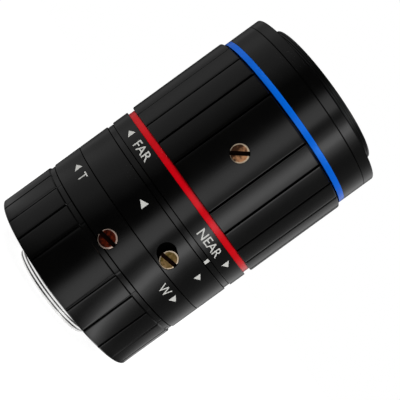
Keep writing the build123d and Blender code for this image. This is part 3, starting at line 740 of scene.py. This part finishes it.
FILTER_R = 18.5  # 37 mm across, with a pitch of 0.5 mm
filter_floor = bezel_face - 3.9
fine_lines = [(bezel_r - depth, front_face + at + side) for at in (0.4, 0.9, 1.4, 1.9)
              for depth, side in ((0.0, -0.12), (0.17, 0.0), (0.0, 0.12))]
bezel_outside = [
    (16.2, bezel_back), (bezel_r, bezel_back), *fine_lines, (bezel_r, bezel_face - 0.2),
    (bezel_r - 0.06, bezel_face - 0.06), (bezel_r - 0.2, bezel_face), (FILTER_R + 0.25, bezel_face),
    (FILTER_R, bezel_face - 0.25),
]
bezel_inside = [(FILTER_R, filter_floor + 0.4), (FILTER_R, filter_floor), (17.2, filter_floor)]
threaded_piece("front_bezel_threaded", bezel_outside, (bezel_face - 0.35, filter_floor + 0.5), bezel_inside,
               0.5, 0.27, FILTER_R, "front_group", bezel_black, ["front_bezel"])

# %% [markdown]
# ## Lock screws
# Each has a cheese head with a turned chamfer and a saw-cut slot. The edges are broken a little, so that
# they shine.

# %% Lock screws
HEAD_R = 2.3
SHANK_R = 1.48
SAW_WIDTH = 1.05  # the slot
SAW_DEPTH = 0.75


def screw_frame(angle, lean):
    """Unit vectors of a lock screw: out of the ring, along its slot and across its slot."""
    out, along = outward(angle)
    slot_way = cos(radians(lean)) * np.array([0, 0, 1.0]) + sin(radians(lean)) * along
    return out, slot_way, np.cross(out, slot_way)


def lock_finish(name, surface, angle, station, lean, painted_light_tilt, shaded_face_colour, lit_face_colour, rim):
    """Old brass: a blotched face, a rim bright by distance from the screw's axis, and a slot in painted
    shade.

    The rim and a line along the slot's edges are bright partly from wear and partly from a painted highlight,
    which reaches further towards one end of the slot. Painted light lightens the face across and along the
    slot by two given numbers.
    """
    finish = Finish(name)
    out, slot_way, across = screw_frame(angle, lean)
    centre = np.array([0, 0, station]) + out * (surface + PROUD)
    depth = finish.along(-out, centre)
    length, width = finish.along(slot_way, centre), finish.along(across, centre)
    reach = (length * length + width * width) ** 0.5
    blotches = finish.noise(1300, detail=3, roughness=0.6)
    grain = finish.noise(6000, detail=2)
    edge = (1.0 - (width.apply("ABSOLUTE") - SAW_WIDTH / 2 - 0.07).apply("ABSOLUTE") * 9.0).clip()
    # bright rim and slot edges: partly wear and a burr, partly a painted highlight that reaches further
    # towards one end of the slot
    wear_and_painted_highlight = ((reach - (HEAD_R - 0.33) + length * 0.07) * 7.0 + edge * 0.5 + (blotches - 0.52) * 1.6).clip()
    # painted light: one side of the face is lighter across and along the slot, with random blotches on top
    shade = (0.38 - width * painted_light_tilt[0] + length * painted_light_tilt[1] + (blotches - 0.5) * 2.8).clip()
    # painted shade: deeper than 0.29 mm into the slot the colour turns nearly black and dull
    painted_slot_shade = ((depth - 0.29) * 14.0).clip()
    colour = finish.mix(wear_and_painted_highlight, finish.mix(shade, shaded_face_colour, lit_face_colour), rim)
    # the nearly black colour of the painted slot shade
    colour = finish.mix(painted_slot_shade, colour, (0.004, 0.0008, 0.0004, 1))
    return finish.shade(Base_Color=colour, Roughness=0.46 - wear_and_painted_highlight * 0.14 + painted_slot_shade * 0.3,
                        Metallic=0.15 + wear_and_painted_highlight * 0.45 - painted_slot_shade * 0.1, Specular_IOR_Level=0.08,
                        Normal=finish.bump(blotches + grain * 0.4, 0.004))


def lock_screw(name, surface, tip, angle, station, slot_lean, body, material, stands_for):
    """Head and shank carried round the screw's own axis, with a slot sawn across at a lean."""
    top = surface + PROUD
    seat = top - HEAD_HEIGHT + 0.02
    outline = [(SHANK_R, tip), (SHANK_R, seat), (HEAD_R, seat), (HEAD_R, top - 0.27), (HEAD_R - 0.27, top)]
    made = plug(name, outline, angle, station)
    out, slot_way, across = screw_frame(angle, slot_lean)
    corners = np.array([[end * 3.4, side * SAW_WIDTH / 2, height]
                        for end in (-1, 1) for side in (-1, 1) for height in (-SAW_DEPTH, 1)])
    points = (corners[:, :1] * slot_way + corners[:, 1:2] * across + (corners[:, 2:] + top) * out
              + np.array([0, 0, station]))
    mesh = bpy.data.meshes.new(name + "_saw")
    sides = [(0, 1, 3, 2), (4, 5, 7, 6), (0, 1, 5, 4), (2, 3, 7, 6), (0, 2, 6, 4), (1, 3, 7, 5)]
    mesh.from_pydata(points * MM, [], sides)
    recalculated(mesh)
    cut(made, linked(name + "_saw", mesh), sharp=30)
    made.data.materials.clear()
    made.data.materials.append(material)
    bevel = made.modifiers.new("broken edges", "BEVEL")
    bevel.width = 0.05 * MM
    bevel.segments = 2
    bevel.limit_method = "ANGLE"
    bevel.angle_limit = radians(30)
    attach(made, body)
    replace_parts(made, stands_for)


barrel_tip = 20.7  # radius of the shank's end: on the barrel, or on the skirt of the front barrel
skirt_tip = 21.7
# each screw's painted light tilt makes its face lighter on one side, mixing its shaded and lit face colours
LOCKS = [  # ring, surface, tip, angle, station, lean of the slot, lit, dark face, light face, rim
    ("zoom", band_r, barrel_tip, *ZOOM_SCREW, 79, (-0.1, 0.14), (0.010, 0.0008, 0.0002, 1),
     (0.095, 0.010, 0.002, 1), (0.50, 0.38, 0.32, 1)),
    ("iris", band_r, barrel_tip, *IRIS_SCREW, 79, (0.1, 0.1), (0.060, 0.040, 0.006, 1),
     (0.20, 0.12, 0.055, 1), (0.80, 0.66, 0.50, 1)),
    ("focus", grip_r, skirt_tip, *FOCUS_SCREW, 39, (0.24, 0.36), (0.028, 0.011, 0.005, 1),
     (0.36, 0.175, 0.085, 1), (0.66, 0.54, 0.40, 1)),
]
for ring, surface, tip, angle, station, lean, painted_light_tilt, shaded_face_colour, lit_face_colour, rim in LOCKS:
    finish = lock_finish(f"{ring}_lock_brass", surface, angle, station, lean, painted_light_tilt, shaded_face_colour, lit_face_colour, rim)
    lock_screw(f"{ring}_lock_head", surface, tip, angle, station, lean, f"{ring}_lock_body", finish,
               f"{ring}_lock_screw")

# %% [markdown]
# ## Glass elements
# Each element is a disc between two ball-shaped faces. Smooth glass shows every facet, so the elements
# are made again as fine revolves. The drop of a face is how far its edge stands in front of its middle:
# with edge radius R and drop d the ball's radius is S = (R^2 + d^2) / (2 |d|).

# %% Lens elements
def ball_face(edge_r, vertex, drop, rows=26):
    """Points (r, z) from the edge inwards: z = vertex + sign(d) (S - sqrt(S^2 - r^2))."""
    r = edge_r * (1 - np.linspace(0, 1, rows, endpoint=False) ** 1.4)
    ball = (edge_r**2 + drop**2) / (2 * abs(drop))
    return np.stack([r, vertex + np.sign(drop) * (ball - np.sqrt(ball**2 - r**2))], -1)


def lens_element(node, back_drop, front_drop, body, material):
    """Two ball faces joined by the ground edge and closed at the axis; the middles come from the box."""
    edge_r, low, high = span(node)
    back = low - min(0.0, back_drop)
    front = high - max(0.0, front_drop)
    outline = np.vstack([ball_face(edge_r, front, front_drop)[::-1], ball_face(edge_r, back, back_drop)])
    count = 180
    rim = revolved(outline, np.linspace(0, 2 * pi, count, endpoint=False)).reshape(-1, 3)
    last_row = len(rim) - count
    around = np.arange(count)
    beside = (around + 1) % count
    front_fan = np.stack([np.full(count, len(rim)), beside, around], -1)
    back_fan = np.stack([np.full(count, len(rim) + 1), last_row + around, last_row + beside], -1)
    faces = grid_faces(len(outline), count, False, True).tolist() + front_fan.tolist() + back_fan.tolist()
    points = np.vstack([rim, [[0, 0, front], [0, 0, back]]])
    return piece(node + "_polished", points, faces, body, material, [node], sharp=40)


lens_element("lens_1_meniscus", -4.2, -2.6, "front_group", glass_green)
lens_element("lens_2_biconcave", -1.6, 0.8, "front_group", glass_violet)
lens_element("lens_3_meniscus", -0.5, -1.6, "front_group", glass_green)
lens_element("lens_4_biconvex", 1.2, -1.4, "rear_group", glass_violet)
lens_element("lens_5_biconvex", 1.9, -1.6, "rear_group", glass_green)
lens_element("lens_6_biconcave", -0.6, 1.9, "rear_group", glass_violet)

# %% [markdown]
# ## Marks
# The lettering is printed on the bands. Each mark is a flat outline bent round the band: a point at
# x across and y up goes to the angle x / radius and the height y, so the letters keep their shape.

# %% Bend flat marks onto a band
MARK_LIFT = 0.018
STRIP = 0.1  # width of the strips that lettering is cut into, for a letter size of 1


def bent_mark(name, flat_points, flat_faces, angle, station, radius, body):
    """Wrap points (x, y) in millimetres round the band and give them a thin edge."""
    flat = np.asarray(flat_points, float)
    a = facing(angle) + flat[:, 0] / radius
    rings = [np.stack([r * np.cos(a), r * np.sin(a), station + flat[:, 1]], -1)
             for r in (radius + MARK_LIFT, radius - 0.03)]
    count = len(flat)
    top = [list(face) for face in flat_faces]
    bottom = [[count + k for k in face[::-1]] for face in flat_faces]
    edges = dict.fromkeys(pair for face in flat_faces for pair in zip(face, [*face[1:], face[0]]))
    rim = [[two, one, count + one, count + two] for one, two in edges if (two, one) not in edges]
    return piece(name, np.vstack(rings), top + bottom + rim, body, mark_white, sharp=20)


def text_outline(text, height):
    """Points and faces of a text in the built-in sans font, cut into narrow strips, centred on x."""
    curve = bpy.data.curves.new("words", "FONT")
    curve.body = text
    curve.size = 1.0
    curve.resolution_u = 6
    curve.offset = 0.004  # a little bolder than the font
    holder = linked("words", curve)
    bpy.context.view_layer.update()
    mesh = bpy.data.meshes.new_from_object(holder.evaluated_get(bpy.context.evaluated_depsgraph_get()))
    bpy.data.objects.remove(holder)
    flat = bmesh.new()
    flat.from_mesh(mesh)
    bmesh.ops.remove_doubles(flat, verts=flat.verts, dist=1e-6)
    low = min(v.co.x for v in flat.verts)
    high = max(v.co.x for v in flat.verts)
    for place in np.arange(low + STRIP, high, STRIP):
        whole = flat.verts[:] + flat.edges[:] + flat.faces[:]
        bmesh.ops.bisect_plane(flat, geom=whole, plane_co=(place, 0, 0), plane_no=(1, 0, 0), dist=1e-6)
    points = np.array([v.co.xy for v in flat.verts])
    faces = [[v.index for v in face.verts] for face in flat.faces]
    flat.free()
    bpy.data.meshes.remove(mesh)
    low, high = points.min(0), points.max(0)
    points = (points - [(low[0] + high[0]) / 2, 0]) * height / (high[1] - low[1])
    return points, faces


def words(name, text, angle, station, height, radius, body, width=None):
    """Lettering whose foot is at the station, squeezed to a width where one is given."""
    points, faces = text_outline(text, height)
    if width:
        points[:, 0] *= width / np.ptp(points[:, 0])
    return bent_mark(name, points, faces, angle, station, radius, body)


def arrow(name, angle, station, side, size, radius, body):
    """A filled triangle that points round the band: side is +1 to the right and -1 to the left."""
    count = 7
    rows = np.linspace(0, 1, count)
    low = np.stack([(rows - 0.5) * size, -(1 - rows) * size * 0.5], -1)
    points = np.vstack([low, low * [1, -1]]) * [side, 1]
    faces = [[k, k + 1, count + k + 1, count + k][::side] for k in range(count - 2)]
    faces.append([count - 2, count - 1, 2 * count - 2][::side])
    return bent_mark(name, points, faces, angle, station, radius, body)


def bar(name, angle, low, high, width, radius, body):
    """A plain stroke along the lens axis."""
    count = 5
    across = np.linspace(-width / 2, width / 2, count)
    points = np.vstack([np.stack([across, np.full(count, height)], -1) for height in (0.0, high - low)])
    faces = [[k, k + 1, count + k + 1, count + k] for k in range(count - 1)]
    return bent_mark(name, points, faces, angle, low, radius, body)


# %% [markdown]
# ## The marks of the three rings
# Arrows show which way each ring goes: to long or short on the zoom ring, open or closed on the iris
# ring, far or near on the focus ring. One white stroke on the fixed collar is the line they turn against.

# %% Print them
arrow("long_arrow", -53.0, 21.35, -1, 2.15, band_r, "zoom_ring_body")
words("long_letter", "T", -43.2, 20.1, 2.3, band_r, "zoom_ring_body")
words("wide_letter", "W", 38.3, 20.2, 2.3, band_r, "zoom_ring_body")
arrow("wide_arrow", 48.5, 21.45, 1, 2.1, band_r, "zoom_ring_body")
arrow("open_arrow", -8.5, 29.28, -1, 2.0, band_r, "iris_ring_body")
arrow("close_arrow", 46.0, 29.18, 1, 1.9, band_r, "iris_ring_body")
bar("index_stroke", 40.0, collar_start + 0.08, collar_end - 0.08, 1.0, collar_r, "main_body")
arrow("far_arrow", -49.6, 36.25, -1, 2.1, band_r, "focus_ring_body")
words("far_word", "FAR", -32.9, 35.0, 2.3, band_r, "focus_ring_body", width=6.15)
words("near_word", "NEAR", 31.2, 35.0, 2.3, band_r, "focus_ring_body", width=8.6)
arrow("near_arrow", 51.3, 36.25, 1, 2.1, band_r, "focus_ring_body")

# %% [markdown]
# ## Finishes of the pieces that stay as solids
# Everything deeper inside is plain work: black tubes and plates, steel pins, brass drive ring.

# %% Give the kept solids their finishes
FINISH_OF_SLOT = {
    BLACK_SLOT: inner_black, "bright_metal": thread_bright, "brass_part": brass_plain,
    "steel_pin": steel_finish, "black_steel": black_steel, "blade_steel": blade_finish,
}
slot_of_node = {part["node"]: part["material_slot"] for part in frame["record"]["subparts"]}
replaced = {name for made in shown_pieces() for name in made.get("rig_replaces", [])}
for name, node in nodes.items():
    if name in replaced:
        continue
    finish = FINISH_OF_SLOT[slot_of_node[name]]
    node.data.materials.clear()
    node.data.materials.append(finish)
print("kept solids:", sorted(set(nodes) - replaced))

# %% [markdown]
# ## The room
# Glossy black shows nothing but its surroundings, so the look is made by what stands round the lens: two
# bright strips to the right of the camera, a grey side at the left and darkness between them. They
# glow only towards shiny surfaces. Two lamps give the plain light, and a pale floor keeps a faint shadow.

# %% Cards round the lens
def glow_finish(name):
    """Light from a stored strength, seen in reflections."""
    finish = Finish(name)
    finish.show(finish.add("ShaderNodeEmission", {}, Color=(1, 1, 1, 1), Strength=finish.attribute("glow")))
    return finish.material


GLOW_AT = [  # degrees right of the camera, and strength
    (-180, 0.02), (-165, 0.03), (-150, 0.09), (-140, 0.18), (-130, 0.15), (-120, 0.20), (-110, 0.31),
    (-100, 0.37), (-90, 0.33), (-80, 0.29), (-70, 0.26), (-60, 0.24), (-50, 0.14), (-40, 0.065), (-31, 0.0),
    (-9, 0.0), (-3, 0.05), (0, 0.17), (4, 0.55), (8, 0.88), (15, 1.0), (21, 1.0), (25, 0.30), (29, 0.14),
    (34, 0.16), (38, 0.42), (42, 0.62), (46, 1.8), (53, 2.2), (58, 1.15), (63, 0.7), (70, 0.23), (80, 0.11),
    (90, 0.10), (100, 0.11), (110, 0.13), (120, 0.25), (130, 0.38), (140, 0.52), (150, 0.55), (160, 0.20),
    (170, 0.06), (180, 0.02),
]
GROUND = 0.3  # shares of the glow that the dim ring of ground and the ceiling keep
CEILING = 0.12


def card_wall(name, radius, low, high):
    """A round wall of cards in metres: a glow that changes with the angle, times a share for each row.

    The rows (radius, height, share) run from the foot of the lens out along the ground, with a dim ring
    in it, then up the wall and in along the dim ceiling.
    """
    rows = np.array([
        (0.0235, low, 1.0), (0.032, low, 1.0), (0.035, low, GROUND), (0.040, low, GROUND), (0.046, low, 1.0),
        (radius, low, 1.0), (radius, 0.35, 1.0), (radius, 0.6, CEILING), (radius, high, CEILING),
        (0.3, high, CEILING), (0.01, high, CEILING),
    ])
    degrees = np.linspace(-180, 180, 721)
    grid = revolved(rows[:, :2], facing(degrees))
    mesh = bpy.data.meshes.new(name)
    mesh.from_pydata(grid.reshape(-1, 3), [], grid_faces(len(rows), len(degrees), False, False).tolist())
    strength = (rows[:, 2:] * np.interp(degrees, *np.array(GLOW_AT).T)).ravel()
    mesh.attributes.new("glow", "FLOAT", "POINT").data.foreach_set("value", strength.astype(np.float32))
    mesh.materials.append(glow_finish(name))
    wall = linked(name, mesh)
    wall.visible_camera = False
    wall.visible_diffuse = False
    wall.visible_shadow = False
    wall.visible_transmission = False


floor_z = thread_end * MM - 0.0002  # just below the lens
card_wall("light_cards", 0.75, floor_z + 0.0001, 1.1)
print("cards:", len(GLOW_AT), "stations")

# %% Lamps
def lamp(name, place, aim, size, watts):
    """A rectangular lamp in metres, turned towards a point of the lens."""
    data = bpy.data.lights.new(name, "AREA")
    data.shape = "RECTANGLE"
    data.size, data.size_y = size
    data.energy = watts
    made = linked(name, data)
    made.location = place
    made.rotation_euler = (Vector(place) - Vector(aim)).to_track_quat("Z", "Y").to_euler()
    made.visible_glossy = False


middle = (0, 0, 0.04)
lamp("key_lamp", (0.46, -0.32, 0.30), middle, (0.25, 0.25), 3.2)
lamp("fill_lamp", (-0.45, -0.32, 0.25), middle, (0.3, 0.3), 2.4)
print("lamps:", [light.name for light in bpy.data.lights])

# %% Floor and white background
FLOOR_REACH = 3.0  # metres
PAPER_SHARE = 0.35  # this share of the floor's look is plain paper, which takes the shadow
FLOOR_GLOW = 1.38  # strength of the rest, so that both together show as nearly white


def plainly_seen(finish):
    """1 for what the camera sees, straight or by way of gloss and glass, and 0 for light cast on the lens."""
    ray = finish.add("ShaderNodeLightPath", {})
    seen = Value(finish, ray.outputs["Is Camera Ray"])
    for kind in ("Is Glossy Ray", "Is Transmission Ray"):
        seen = seen.apply("MAXIMUM", ray.outputs[kind])
    return seen


def floor_finish():
    """White to the camera and in reflections, with a share of plain floor so that shadows show."""
    finish = Finish("floor_white")
    strength = plainly_seen(finish) * FLOOR_GLOW
    glow = finish.add("ShaderNodeEmission", {}, Color=(1, 1, 1, 1), Strength=strength).outputs[0]
    paper = finish.add("ShaderNodeBsdfDiffuse", {}, Color=(0.8, 0.8, 0.8, 1)).outputs[0]
    finish.show(finish.add("ShaderNodeMixShader", {}, Fac=PAPER_SHARE, in1=glow, in2=paper))
    return finish.material


floor_mesh = bpy.data.meshes.new("floor")
floor_corners = [(FLOOR_REACH * x, FLOOR_REACH * y, floor_z) for x, y in ((-1, -1), (1, -1), (1, 1), (-1, 1))]
floor_mesh.from_pydata(floor_corners, [], [(0, 1, 2, 3)])
floor_mesh.materials.append(floor_finish())
floor = linked("floor", floor_mesh)

world = bpy.data.worlds.new("white_room")
bpy.context.scene.world = world
room = Finish("white_room", world)
plain = room.add("ShaderNodeBackground", {}, Strength=0.5).outputs[0]
white = room.add("ShaderNodeBackground", {}, Color=(1, 1, 1, 1), Strength=1.0).outputs[0]
room.show(room.add("ShaderNodeMixShader", {}, Fac=plainly_seen(room), in1=plain, in2=white))
bpy.context.scene.view_settings.view_transform = "Standard"
print("floor at", round(floor_z / MM, 2), "mm")
